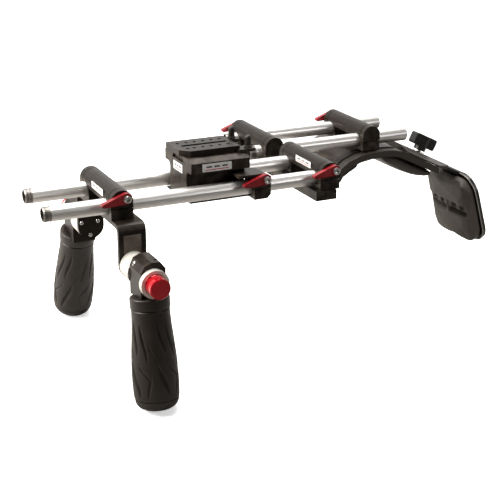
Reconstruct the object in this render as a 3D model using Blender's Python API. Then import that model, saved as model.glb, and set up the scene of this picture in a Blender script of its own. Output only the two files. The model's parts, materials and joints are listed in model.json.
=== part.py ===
"""Shoulder rig for a video camera, on two pairs of 15 mm rods.

Blender 4.5, metres, +Z up.  The rig points along -Y, the operator's shoulder is towards +Y
and the operator's left is +X.  All sizes below are in the rig's own frame: rod axes at z = 0,
front ends of the front rods at y = 0, centre plane of the front rods at x = 0.  The empty
called rig_origin then moves the rig so that the world origin lies on the camera plate's
top face.
"""

import math

import bmesh
import bpy
from mathutils import Matrix, Vector

MM = 0.001
GAP = 0.3 * MM
REACH = 1.0 * MM
CUTTER_MARGIN = 10 * MM
CUTTER_DEPTH = 90 * MM

# Rods
ROD_RADIUS = 7.5 * MM
ROD_BORE = 5.9 * MM
ROD_SPACING = 60 * MM
FRONT_ROD_LENGTH = 300 * MM
REAR_ROD_START = 268 * MM
REAR_ROD_END = 470 * MM
END_BAND_LENGTH = 6.5 * MM
END_BAND_RADIUS = 7.2 * MM
END_CHAMFER = 0.9 * MM
REAR_PAIR_X = -122 * MM
REAR_PAIR_Z = -4 * MM

# Rod clamps: a bar with a round top that grips both rods of a pair
CLAMP_HALF_WIDTH = 45 * MM
CLAMP_DEPTH = 22 * MM
CLAMP_BOTTOM = -10 * MM
CLAMP_TOP = 18 * MM
CLAMP_ARCH_HALF = 19 * MM
CLAMP_ARCH_TOP = 3.5 * MM
CLAMP_SLIT = 0.8 * MM
CLAMP_END_WALL = 2.6 * MM
CLAMP_SEAM_X = 37 * MM
CLAMP_SEAM_WIDTH = 0.7 * MM
CLAMP_SEAM_DEPTH = 0.8 * MM
BOLT_Y = 3 * MM
BOLT_Z = 11 * MM
BOLT_RADIUS = 2.5 * MM
BOLT_HEAD_RADIUS = 3.6 * MM
BOLT_HEAD_LENGTH = 3.2 * MM
FRONT_CLAMP_Y = 72 * MM
OFFSET_CLAMP_Y = 293 * MM
PAD_CLAMP_Y = 416 * MM

# Clamp levers
LEVER_LENGTH = 22 * MM
LEVER_DROP = 4.5 * MM
LEVER_EYE_RADIUS = 5.3 * MM
LEVER_TIP_RADIUS = 1.9 * MM
LEVER_THICKNESS = 5 * MM

# Handle bracket: one bent plate under the front clamp
BRACKET_Y_LOW = 61.5 * MM
BRACKET_Y_HIGH = 88.5 * MM
BRACKET_TOP = CLAMP_BOTTOM - GAP
BRACKET_THICKNESS = 4 * MM
BRACKET_HALF_WIDTH = 62 * MM
BRACKET_BEND = 8 * MM
BRACKET_WINDOW = 18 * MM
BRACKET_WINDOW_DEPTH = 0.6 * MM
BRACKET_WINDOW_Z = -29 * MM

# Handle joint, on one cross axis
HUB_Y = 75 * MM
HUB_Z = -49.5 * MM
BARREL_RADIUS = 13.5 * MM
BARREL_END_X = 83 * MM
HUB_END_X = 111.5 * MM
RING_END_X = 118 * MM
BUTTON_END_X = 130.5 * MM
BUTTON_RADIUS = 9.9 * MM
SPINDLE_RADIUS = 4 * MM
SPINDLE_START_X = 66 * MM
SPINDLE_END_X = 99 * MM
SPRING_START_X = 100.9 * MM
SPRING_END_X = 106.8 * MM
SPRING_RADIUS = 6 * MM
SPRING_WIRE = 0.65 * MM
SPRING_TURNS = 3
POCKET_RADIUS = 10.3 * MM

# Grips
GRIP_TOP_X = {1: 102 * MM, -1: 103.5 * MM}
GRIP_TOP_Z = {1: -65.7 * MM, -1: -68.3 * MM}
GRIP_SPLAY = {1: math.radians(8), -1: math.radians(18)}
GRIP_LENGTH = 106 * MM
GRIP_CAP_Z = -96 * MM
COLLAR_RADIUS = 18.5 * MM
COLLAR_HEIGHT = 11 * MM
TONGUE_RADIUS = 9 * MM
TONGUE_LENGTH = 62 * MM

# Camera base
BASE_Y_LOW = 147 * MM
BASE_Y_HIGH = 209 * MM
BASE_HALF_WIDTH = 33 * MM
BASE_NECK_HALF = 20.5 * MM
BASE_TOP = 33.5 * MM
BASE_SHOULDER_Z = 30.5 * MM
BASE_SHOULDER_HALF = 25 * MM
BASE_STEP_Z = 20 * MM
BASE_BOTTOM = -7.9 * MM
DOVETAIL_NARROW = 10.5 * MM
DOVETAIL_WIDE = 14 * MM
DOVETAIL_FLOOR = 27 * MM
KEEPER_HALF_WIDTH = 30 * MM
KEEPER_THICKNESS = 1.6 * MM

# Sliding camera plate
PLATE_TOP = 40 * MM
PLATE_BOTTOM = 34 * MM
PLATE_HALF_WIDTH = 21 * MM
PLATE_Y_LOW = 143 * MM
PLATE_Y_HIGH = 204 * MM
PLATE_CORNER = 9 * MM
SLOT_HALF_WIDTH = 2.4 * MM
SLOT_Y_LOW = 151 * MM
SLOT_Y_HIGH = 199 * MM
HOLE_ROW_X = 10.5 * MM
HOLE_RADIUS = 1.9 * MM
HOLE_COUNT = 6
HOLE_PITCH = 9 * MM
HOLE_FIRST_Y = 151 * MM
FORK_X = 19 * MM
FORK_HALF_WIDTH = 6.5 * MM
FORK_END_Y = 219 * MM
FORK_TOP = 37 * MM
POST_Y = 213.5 * MM
POST_RADIUS = 3.2 * MM
POST_TOP = 49.5 * MM
SCREW_Y = 176 * MM
SCREW_RADIUS = 2.1 * MM

# Side clamp of the camera base, on the left front rod
SIDE_CLAMP_Y_LOW = 209.3 * MM
SIDE_CLAMP_Y_HIGH = 227 * MM
SIDE_CLAMP_X_LOW = 21 * MM
SIDE_CLAMP_X_HIGH = 44 * MM
SIDE_CLAMP_TOP = 16 * MM
SIDE_FLANGE_Y_LOW = 192 * MM
SIDE_FLANGE_BOTTOM = 13.5 * MM
SIDE_BOLT_Y = 219.5 * MM

# Offset base that joins the two rod pairs
OFFSET_BAR_Y_LOW = 277 * MM
OFFSET_BAR_Y_HIGH = 300 * MM
OFFSET_BAR_BOTTOM = -20 * MM
OFFSET_BAR_END_X = 46.5 * MM
OFFSET_STEP_X = -61 * MM

# Shoulder saddle
SADDLE_HALF_WIDTH = 50 * MM
SADDLE_TAIL_HALF = 24 * MM
SADDLE_TAPER_Y = 508 * MM
SADDLE_THICKNESS = 7.5 * MM
SADDLE_END_THICKNESS = 2.5 * MM
THINNING_ALONG = (25 * MM, 54 * MM)
SADDLE_END_Y = 533 * MM
SADDLE_SLOPE = math.radians(26)
SADDLE_CREST = [
    (369 * MM, -40 * MM),
    (374 * MM, -31 * MM),
    (384 * MM, -23.8 * MM),
    (399 * MM, -18.2 * MM),
    (414 * MM, -15.9 * MM),
    (432 * MM, -15.5 * MM),
    (445 * MM, -16.2 * MM),
    (456 * MM, -19 * MM),
]
SPINE_HALF_WIDTH = 37 * MM
SPINE_THICKNESS = 5.6 * MM
SPINE_RECESS = 4.8 * MM
SPINE_Y_LOW = 375 * MM
SPINE_Y_HIGH = 452 * MM
FRONT_CUSHION_Y = (371 * MM, 396 * MM)
FRONT_CUSHION_DEPTH = 6.5 * MM
REAR_CUSHION_Y = (434 * MM, 507 * MM)
REAR_CUSHION_DEPTH = 13 * MM
REAR_CUSHION_HALF = 44 * MM

# Tail cover, wing knob and back pad, placed along the saddle's rear slope
TAIL_START = 486 * MM
TAIL_ALONG = (-22 * MM, 58 * MM)
TAIL_FOOT_HALF = 46 * MM
TAIL_RIDGE_HALF = 21 * MM
TAIL_TOP = 7 * MM
TAIL_TAPER = 27 * MM
TAIL_END_HALF = 23 * MM
SLOT_HALF = 3.3 * MM
SLOT_ALONG = (8 * MM, 41 * MM)
CHANNEL_START = -2 * MM
KNOB_ALONG = 24.5 * MM
STUD_RADIUS = 2.9 * MM
STUD_TOP = 21 * MM
WASHER_RADIUS = 8 * MM
WASHER_THICKNESS = 1 * MM
KNOB_BASE = 9.2 * MM
KNOB_WING_BASE = 14 * MM
KNOB_TOP = 28 * MM
KNOB_HUB_RADIUS = 7.5 * MM
KNOB_HALF_SPAN = 16 * MM
KNOB_HALF_WIDTH = 6 * MM
ARM_HALF_WIDTH = 17 * MM
ARM_START = 12 * MM
ARM_END = 91 * MM
ARM_THICKNESS = 4 * MM
BACK_CORNER_Y = 568 * MM
BACK_CORNER_Z = -69 * MM
BACK_TILT = math.radians(17)
BACK_HALF_WIDTH = 44 * MM
BACK_HEIGHT = 87 * MM
BACK_THICKNESS = 4.5 * MM
BACK_ROUNDING = 22 * MM
BACK_CUSHION_DEPTH = 15 * MM
NOTCH_FRONT = -12 * MM
NOTCH_FRONT_LOW = 4.5 * MM
NOTCH_REAR_LOW = -2.9 * MM
NOTCH_TOP = 20 * MM

# World origin, in the rig's own frame: on the front land of the camera plate
ORIGIN = Vector((0.0, 147 * MM, PLATE_TOP))

SEGMENTS = 28


def clear_scene():
    for thing in list(bpy.data.objects):
        bpy.data.objects.remove(thing, do_unlink=True)


def material(name, colour, roughness, metallic):
    found = bpy.data.materials.get(name)
    if found:
        return found
    made = bpy.data.materials.new(name)
    made.use_nodes = True
    shader = made.node_tree.nodes["Principled BSDF"]
    shader.inputs["Base Color"].default_value = (*colour, 1.0)
    shader.inputs["Roughness"].default_value = roughness
    shader.inputs["Metallic"].default_value = metallic
    made.diffuse_color = (*colour, 1.0)
    return made


def black_anodised():
    return material("black_anodised", (0.03, 0.026, 0.022), 0.42, 0.6)


def satin_steel():
    return material("satin_steel", (0.72, 0.70, 0.66), 0.28, 1.0)


def silver_anodised():
    return material("silver_anodised", (0.80, 0.78, 0.70), 0.38, 0.9)


def red_anodised():
    return material("red_anodised", (0.55, 0.02, 0.03), 0.32, 0.8)


def red_gloss():
    return material("red_gloss", (0.70, 0.01, 0.02), 0.12, 0.3)


def black_rubber():
    return material("black_rubber", (0.045, 0.038, 0.03), 0.72, 0.0)


def black_plastic():
    return material("black_plastic", (0.03, 0.027, 0.024), 0.5, 0.0)


def dark_foam():
    return material("dark_foam", (0.07, 0.06, 0.05), 0.85, 0.0)


# --- shapes: each returns a bmesh in the rig's frame -----------------------------------------

def place(axis, a, b, t):
    if axis == "X":
        return Vector((t, a, b))
    if axis == "Y":
        return Vector((a, t, b))
    return Vector((a, b, t))


def prism(axis, outline, low, high):
    """A straight body on a flat outline, from low to high along the axis."""
    bm = bmesh.new()
    rings = []
    for t in (low, high):
        rings.append([bm.verts.new(place(axis, a, b, t)) for a, b in outline])
    bm.faces.new(rings[0])
    bm.faces.new(rings[1])
    count = len(outline)
    for i in range(count):
        j = (i + 1) % count
        bm.faces.new((rings[0][i], rings[0][j], rings[1][j], rings[1][i]))
    bmesh.ops.recalc_face_normals(bm, faces=bm.faces)
    return bm


def box(low, high):
    outline = [(low[0], low[1]), (high[0], low[1]), (high[0], high[1]), (low[0], high[1])]
    return prism("Z", outline, low[2], high[2])


def turned(axis, profile, centre=(0.0, 0.0), segments=SEGMENTS):
    """A turned body.  The profile is (radius, along) and closes on itself, or ends on the axis."""
    bm = bmesh.new()
    rings = []
    for radius, along in profile:
        if radius == 0.0:
            rings.append([bm.verts.new(place(axis, centre[0], centre[1], along))])
            continue
        ring = []
        for k in range(segments):
            turn = 2 * math.pi * k / segments
            a = centre[0] + radius * math.cos(turn)
            b = centre[1] + radius * math.sin(turn)
            ring.append(bm.verts.new(place(axis, a, b, along)))
        rings.append(ring)
    pairs = list(zip(rings, rings[1:]))
    if profile[0][0] > 0.0:
        pairs.append((rings[-1], rings[0]))
    for first, second in pairs:
        for k in range(segments):
            n = (k + 1) % segments
            corners = [first[k % len(first)], first[n % len(first)]]
            corners += [second[n % len(second)], second[k % len(second)]]
            unique = [v for i, v in enumerate(corners) if v not in corners[:i]]
            bm.faces.new(unique)
    bmesh.ops.recalc_face_normals(bm, faces=bm.faces)
    return bm


def cylinder(axis, radius, low, high, centre=(0.0, 0.0), segments=SEGMENTS):
    return turned(axis, [(0.0, low), (radius, low), (radius, high), (0.0, high)], centre, segments)


def tube(axis, radius, bore, low, high, centre=(0.0, 0.0), segments=SEGMENTS):
    return turned(axis, [(bore, low), (radius, low), (radius, high), (bore, high)], centre, segments)


def arc(centre, radius, start, stop, steps):
    points = []
    for k in range(steps + 1):
        turn = math.radians(start + (stop - start) * k / steps)
        points.append((centre[0] + radius * math.cos(turn), centre[1] + radius * math.sin(turn)))
    return points


def rounded(points, radius, steps=4):
    """The outline with every corner rounded to the radius."""
    result = []
    count = len(points)
    for i in range(count):
        corner = Vector(points[i])
        before = (Vector(points[i - 1]) - corner).normalized()
        after = (Vector(points[(i + 1) % count]) - corner).normalized()
        half = before.angle(after) / 2
        start = corner + before * (radius / math.tan(half))
        stop = corner + after * (radius / math.tan(half))
        centre = corner + (before + after).normalized() * (radius / math.sin(half))
        for k in range(steps + 1):
            blend = start.lerp(stop, k / steps) - centre
            result.append(tuple(centre + blend.normalized() * radius))
    return result


def hull(first, first_radius, second, second_radius, steps=8):
    """Outline around two circles, joined by their outer tangents."""
    line = Vector(second) - Vector(first)
    bearing = math.degrees(math.atan2(line.y, line.x))
    lean = math.degrees(math.acos((first_radius - second_radius) / line.length))
    outline = arc(first, first_radius, bearing + lean, bearing + 360 - lean, steps * 2)
    outline += arc(second, second_radius, bearing - lean, bearing + lean, steps)
    return outline


def strip(line, thickness):
    """Outline of an even band below an open line of points."""
    lower = []
    count = len(line)
    for i in range(count):
        ahead = Vector(line[min(i + 1, count - 1)]) - Vector(line[max(i - 1, 0)])
        ahead.normalize()
        lower.append((line[i][0] + ahead.y * thickness, line[i][1] - ahead.x * thickness))
    return list(line) + lower[::-1]


# --- objects ---------------------------------------------------------------------------------

RIG = {}


def empty(name, location, parent=None):
    """A joint's axis or the rig's frame.  The location is in the rig's frame."""
    made = bpy.data.objects.new(name, None)
    bpy.context.collection.objects.link(made)
    made.empty_display_size = 0.02
    RIG[name] = Vector(location)
    if parent:
        made.parent = bpy.data.objects[parent]
        made.location = Vector(location) - RIG[parent]
    else:
        made.location = Vector(location) - ORIGIN
    return made


def mesh_object(name, bm, shade, joint):
    """Turns a bmesh in the rig's frame into an object whose origin is its joint's empty."""
    bmesh.ops.translate(bm, vec=-RIG[joint], verts=bm.verts)
    mesh = bpy.data.meshes.new(name)
    bm.to_mesh(mesh)
    bm.free()
    made = bpy.data.objects.new(name, mesh)
    bpy.context.collection.objects.link(made)
    made.parent = bpy.data.objects[joint]
    mesh.materials.append(shade)
    mesh.shade_smooth()
    mesh.set_sharp_from_angle(angle=math.radians(35))
    return made


def part(name, bm, shade, joint="rig_origin", cuts=(), joins=()):
    """A named piece.  Joins are fused on to it first, then the cuts are taken out."""
    made = mesh_object(name, bm, shade, joint)
    tools = [("UNION", shape) for shape in joins] + [("DIFFERENCE", shape) for shape in cuts]
    for number, (operation, shape) in enumerate(tools):
        tool = mesh_object(f"{name}_tool_{number}", shape, shade, joint)
        tool.hide_render = True
        tool.display_type = "WIRE"
        step = made.modifiers.new(f"{operation.lower()}_{number}", "BOOLEAN")
        step.operation = operation
        step.solver = "EXACT"
        step.object = tool
    return made


def mirrored(bm, side):
    """The shape itself on the left side (+1), its mirror image on the right side (-1)."""
    if side < 0:
        bmesh.ops.scale(bm, vec=(-1, 1, 1), verts=bm.verts)
        bmesh.ops.reverse_faces(bm, faces=bm.faces)
    return bm


def moved(bm, matrix):
    bmesh.ops.transform(bm, matrix=matrix, verts=bm.verts)
    return bm


def trimmed(bm, point, normal):
    """Takes away what lies on the far side of a plane and closes the shape there."""
    everything = bm.verts[:] + bm.edges[:] + bm.faces[:]
    bmesh.ops.bisect_plane(bm, geom=everything, plane_co=point, plane_no=normal, clear_inner=True)
    bmesh.ops.holes_fill(bm, edges=[edge for edge in bm.edges if edge.is_boundary])
    return bm


# --- rods ------------------------------------------------------------------------------------

def rod(name, x, z, start, end, joint):
    """A tube with a turned-down band and a chamfer at each end."""
    wall = [
        (ROD_BORE, start),
        (END_BAND_RADIUS - END_CHAMFER, start),
        (END_BAND_RADIUS, start + END_CHAMFER),
        (END_BAND_RADIUS, start + END_BAND_LENGTH),
        (ROD_RADIUS, start + END_BAND_LENGTH + (ROD_RADIUS - END_BAND_RADIUS)),
        (ROD_RADIUS, end - END_CHAMFER),
        (ROD_RADIUS - END_CHAMFER, end),
        (ROD_BORE, end),
    ]
    part(name, turned("Y", wall, (x, z)), satin_steel(), joint)


def rods():
    half = ROD_SPACING / 2
    rod("front_rod_left", half, 0.0, 0.0, FRONT_ROD_LENGTH, "rig_origin")
    rod("front_rod_right", -half, 0.0, 0.0, FRONT_ROD_LENGTH, "rig_origin")
    for name, x in (("rear_rod_left", REAR_PAIR_X + half), ("rear_rod_right", REAR_PAIR_X - half)):
        rod(name, x, REAR_PAIR_Z, REAR_ROD_START, REAR_ROD_END, "rear_rods_slide")


# --- rod clamps ------------------------------------------------------------------------------

def clamp_profile(y, z):
    """Flat front and back with a half-round top, as (y, z)."""
    radius = CLAMP_DEPTH / 2
    low = z + CLAMP_BOTTOM
    dome = arc((y, z + CLAMP_TOP - radius), radius, 0, 180, 14)
    return [(y - radius, low), (y + radius, low)] + dome


def clamp_seam(x, y, z):
    """A thin saddle that scores the clamp's front, top and back near one end."""
    radius = CLAMP_DEPTH / 2
    inner = radius - CLAMP_SEAM_DEPTH
    centre = (y, z + CLAMP_TOP - radius)
    low = z + CLAMP_BOTTOM + 2.5 * MM
    outside = arc(centre, radius + REACH, 0, 180, 12)
    inside = arc(centre, inner, 180, 0, 12)
    outline = [(y + radius + REACH, low)] + outside + [(y - radius - REACH, low)]
    outline += [(y - inner, low)] + inside + [(y + inner, low)]
    return prism("X", outline, x - CLAMP_SEAM_WIDTH / 2, x + CLAMP_SEAM_WIDTH / 2)


def clamp_body(name, x, y, z, joint, bore_side):
    half = ROD_SPACING / 2
    depth = CLAMP_DEPTH / 2 + REACH
    cuts = []
    for side in (-1, 1):
        cuts.append(cylinder("Y", ROD_RADIUS + GAP, y - depth, y + depth, (x + side * half, z)))
        end = x + side * (CLAMP_HALF_WIDTH + REACH)
        edges = sorted((x + side * half, end))
        slit_low = (edges[0], y - depth, z - CLAMP_SLIT / 2)
        cuts.append(box(slit_low, (edges[1], y + depth, z + CLAMP_SLIT / 2)))
        cuts.append(clamp_seam(x + side * CLAMP_SEAM_X, y, z))
    arch_low = (x - CLAMP_ARCH_HALF, y - depth, z + CLAMP_BOTTOM - REACH)
    cuts.append(box(arch_low, (x + CLAMP_ARCH_HALF, y + depth, z + CLAMP_ARCH_TOP)))
    bore_centre = (y + BOLT_Y, z + BOLT_Z)
    bore_end = x - bore_side * (CLAMP_HALF_WIDTH - CLAMP_END_WALL)
    bore = sorted((bore_end, x + bore_side * (CLAMP_HALF_WIDTH + REACH)))
    cuts.append(cylinder("X", BOLT_RADIUS + GAP, bore[0], bore[1], bore_centre, 16))
    bar = prism("X", clamp_profile(y, z), x - CLAMP_HALF_WIDTH, x + CLAMP_HALF_WIDTH)
    part(name, bar, black_anodised(), joint, cuts)


def lever_and_bolt(prefix, face_x, far_x, side, y, z, joint):
    """A red cam lever against the clamp's end face, and the cap screw that it turns with."""
    near = face_x + side * GAP
    outer = near + side * LEVER_THICKNESS
    eye = (y, z)
    tip = (y - LEVER_LENGTH, z - LEVER_DROP)
    blade = hull(eye, LEVER_EYE_RADIUS, tip, LEVER_TIP_RADIUS)
    low, high = sorted((near, outer))
    bore = cylinder("X", BOLT_RADIUS + GAP, low - REACH, high + REACH, eye, 16)
    part(f"{prefix}_lever", prism("X", blade, low, high), red_anodised(), joint, [bore])
    head = outer + side * GAP
    top = head + side * BOLT_HEAD_LENGTH
    screw = [
        (0.0, far_x),
        (BOLT_RADIUS, far_x),
        (BOLT_RADIUS, head),
        (BOLT_HEAD_RADIUS, head),
        (BOLT_HEAD_RADIUS, top - side * 0.5 * MM),
        (BOLT_HEAD_RADIUS - 0.5 * MM, top),
        (0.0, top),
    ]
    socket_low, socket_high = sorted((top - side * 1.8 * MM, top + side * REACH))
    socket = cylinder("X", 2.0 * MM, socket_low, socket_high, eye, 6)
    part(f"{prefix}_bolt", turned("X", screw, eye, 16), satin_steel(), joint, [socket])


def rod_clamp(prefix, x, y, z, side, body_joint, lever_joint):
    """A whole clamp: body, bolt and lever, with the lever on the left (+1) or right (-1) end."""
    clamp_body(f"{prefix}_clamp_body", x, y, z, body_joint, side)
    face = x + side * CLAMP_HALF_WIDTH
    far = x - side * (CLAMP_HALF_WIDTH - 3 * MM)
    bolt = (y + BOLT_Y, z + BOLT_Z)
    lever_and_bolt(f"{prefix}_clamp", face, far, side, bolt[0], bolt[1], lever_joint)


# --- handle bracket and handles --------------------------------------------------------------

def handle_bracket():
    """A plate bent down at both sides.  Each leg ends round the handle joint."""
    outer = BRACKET_HALF_WIDTH
    inner = outer - BRACKET_THICKNESS
    bottom = HUB_Z - BARREL_RADIUS
    top = BRACKET_TOP
    under = top - BRACKET_THICKNESS
    bend = BRACKET_BEND
    inner_bend = bend - BRACKET_THICKNESS
    outline = [(outer, bottom)]
    outline += arc((outer - bend, top - bend), bend, 0, 90, 5)
    outline += arc((bend - outer, top - bend), bend, 90, 180, 5)
    outline += [(-outer, bottom), (-inner, bottom)]
    outline += arc((inner_bend - inner, under - inner_bend), inner_bend, 180, 90, 4)
    outline += arc((inner - inner_bend, under - inner_bend), inner_bend, 90, 0, 4)
    outline += [(inner, bottom)]
    plate = prism("Y", outline, BRACKET_Y_LOW, BRACKET_Y_HIGH)

    # What is left of each leg's lower end is a half disc about the handle joint.
    reach = outer + REACH
    keep = arc((HUB_Y, HUB_Z), BARREL_RADIUS, -180, 0, 14)
    waste = [(BRACKET_Y_LOW - REACH, HUB_Z)] + keep + [(BRACKET_Y_HIGH + REACH, HUB_Z)]
    waste += [(BRACKET_Y_HIGH + REACH, bottom - REACH), (BRACKET_Y_LOW - REACH, bottom - REACH)]
    cuts = [prism("X", waste, -reach, reach)]
    middle = (BRACKET_Y_LOW + BRACKET_Y_HIGH) / 2
    for side in (-1, 1):
        face = side * outer
        low_x, high_x = sorted((face - side * BRACKET_WINDOW_DEPTH, face + side * REACH))
        half = BRACKET_WINDOW / 2
        window_low = (low_x, middle - half, BRACKET_WINDOW_Z - half)
        cuts.append(box(window_low, (high_x, middle + half, BRACKET_WINDOW_Z + half)))
    part("handle_bracket", plate, black_anodised(), "front_clamp_slide", cuts)


def hub_outline():
    """Side view of the handle's head, as (y, z): a flat top with two bevelled corners."""
    offsets = [(-11.5, -26), (12.5, -26), (12.5, 12), (7.5, 18.5), (-1, 19), (-8, 16), (-11.5, 9)]
    return [(HUB_Y + a * MM, HUB_Z + b * MM) for a, b in offsets]


def grip_frame(side):
    """Places a body turned about +Z, with z = 0 at the collar's top, along the splayed grip.

    It is the frame of the left grip.  For the right one the caller mirrors the result.
    """
    lean = Matrix.Rotation(-GRIP_SPLAY[side], 4, "Y")
    return Matrix.Translation((GRIP_TOP_X[side], HUB_Y, GRIP_TOP_Z[side])) @ lean


def grip_radius(depth):
    """Radius of the grip below its collar: a slim neck, then a slow swell to the palm."""
    share = (depth - COLLAR_HEIGHT) / (-GRIP_CAP_Z - COLLAR_HEIGHT)
    swell = math.sin(math.pi * min(share / 1.55, 1.0)) ** 2
    return (17.9 + 3.9 * swell) * MM


def grip_sleeve(name, side, joint):
    profile = [(TONGUE_RADIUS + GAP, 0.0), (COLLAR_RADIUS - 0.8 * MM, 0.0), (COLLAR_RADIUS, -0.8 * MM)]
    profile += [(COLLAR_RADIUS, 0.4 * MM - COLLAR_HEIGHT), (COLLAR_RADIUS - 1.3 * MM, -COLLAR_HEIGHT)]
    rows = 11
    for k in range(rows):
        depth = COLLAR_HEIGHT + (-GRIP_CAP_Z - COLLAR_HEIGHT) * (k + 0.15) / (rows - 0.85)
        profile.append((grip_radius(depth), -depth))
    profile.append((TONGUE_RADIUS + GAP, GRIP_CAP_Z))
    sleeve = moved(turned("Z", profile), grip_frame(side))
    part(name, mirrored(sleeve, side), black_rubber(), joint)


def grip_cap(name, side, joint):
    top = GRIP_CAP_Z - GAP
    edge = grip_radius(-GRIP_CAP_Z) - 0.4 * MM
    depth = GRIP_LENGTH + top
    profile = [(0.0, top), (edge, top)]
    for k in range(1, 5):
        turn = math.radians(90 * k / 5)
        profile.append((edge - 8 * MM * (1 - math.cos(turn)), top - depth * math.sin(turn)))
    profile.append((edge - 8.4 * MM, -GRIP_LENGTH))
    profile.append((0.0, -GRIP_LENGTH))
    cap = moved(turned("Z", profile), grip_frame(side))
    part(name, mirrored(cap, side), black_rubber(), joint)


def button_spring(name, side, joint):
    """A coil spring on the joint's axis."""
    bm = bmesh.new()
    steps = SPRING_TURNS * 12
    rings = []
    for k in range(steps + 1):
        turn = 2 * math.pi * SPRING_TURNS * k / steps
        spine_x = SPRING_START_X + (SPRING_END_X - SPRING_START_X) * k / steps
        ring = []
        for n in range(6):
            around = 2 * math.pi * n / 6
            radius = SPRING_RADIUS + SPRING_WIRE * math.cos(around)
            x = spine_x + SPRING_WIRE * math.sin(around)
            y = HUB_Y + radius * math.cos(turn)
            ring.append(bm.verts.new((x, y, HUB_Z + radius * math.sin(turn))))
        rings.append(ring)
    for first, second in zip(rings, rings[1:]):
        for n in range(6):
            m = (n + 1) % 6
            bm.faces.new((first[n], first[m], second[m], second[n]))
    bm.faces.new(rings[0])
    bm.faces.new(rings[-1])
    bmesh.ops.recalc_face_normals(bm, faces=bm.faces)
    part(name, mirrored(bm, side), satin_steel(), joint)


def handle(label, side):
    """One handle.  Its joint's parts lie on one cross axis, from the bracket outwards."""
    axis = (HUB_Y, HUB_Z)
    swing = f"{label}_handle_hinge"
    press = f"{label}_button_slide"
    start = BRACKET_HALF_WIDTH + GAP

    barrel = cylinder("X", BARREL_RADIUS, start, BARREL_END_X, axis)
    seat = cylinder("X", SPINDLE_RADIUS + GAP, SPINDLE_START_X, BARREL_END_X + REACH, axis, 20)
    part(f"{label}_barrel", mirrored(barrel, side), silver_anodised(), "front_clamp_slide",
         [mirrored(seat, side)])

    spindle = cylinder("X", SPINDLE_RADIUS, SPINDLE_START_X + GAP, SPINDLE_END_X, axis, 20)
    part(f"{label}_spindle", mirrored(spindle, side), satin_steel(), "front_clamp_slide")

    head = prism("X", hub_outline(), BARREL_END_X + GAP, HUB_END_X)
    lean = grip_frame(side)
    up = lean.to_3x3() @ Vector((0.0, 0.0, 1.0))
    head = trimmed(head, lean.translation + up * GAP, up)
    tongue = moved(cylinder("Z", TONGUE_RADIUS, -TONGUE_LENGTH, 2 * MM), lean)
    bore = cylinder("X", SPINDLE_RADIUS + GAP, BARREL_END_X - REACH, SPINDLE_END_X + 2 * GAP, axis, 20)
    pocket = cylinder("X", POCKET_RADIUS, SPINDLE_END_X + GAP, HUB_END_X + REACH, axis)
    groove_x = 104.5 * MM
    groove_outline = [(HUB_Y + a * MM, HUB_Z + b * MM) for a, b in ((4, 21), (4, 18), (15, 8), (15, 21))]
    groove = prism("X", groove_outline, groove_x - 1.2 * MM, groove_x + 1.2 * MM)
    part(f"{label}_handle_arm", mirrored(head, side), black_anodised(), swing,
         [mirrored(shape, side) for shape in (bore, pocket, groove)],
         [mirrored(tongue, side)])

    ring = tube("X", BARREL_RADIUS, POCKET_RADIUS, HUB_END_X + GAP, RING_END_X, axis)
    part(f"{label}_hub_ring", mirrored(ring, side), silver_anodised(), swing)

    back = HUB_END_X + GAP
    profile = [
        (0.0, back),
        (BUTTON_RADIUS, back),
        (BUTTON_RADIUS, RING_END_X + 0.5 * MM),
        (BUTTON_RADIUS - 0.5 * MM, RING_END_X + 1.2 * MM),
        (BUTTON_RADIUS, RING_END_X + 1.9 * MM),
        (BUTTON_RADIUS, BUTTON_END_X - 0.8 * MM),
        (BUTTON_RADIUS - 0.8 * MM, BUTTON_END_X),
        (0.0, BUTTON_END_X + 0.4 * MM),
    ]
    part(f"{label}_push_button", mirrored(turned("X", profile, axis), side), red_gloss(), press)
    button_spring(f"{label}_button_spring", side, swing)
    grip_sleeve(f"{label}_grip_sleeve", side, swing)
    grip_cap(f"{label}_grip_cap", side, swing)


# --- camera base -----------------------------------------------------------------------------

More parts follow.
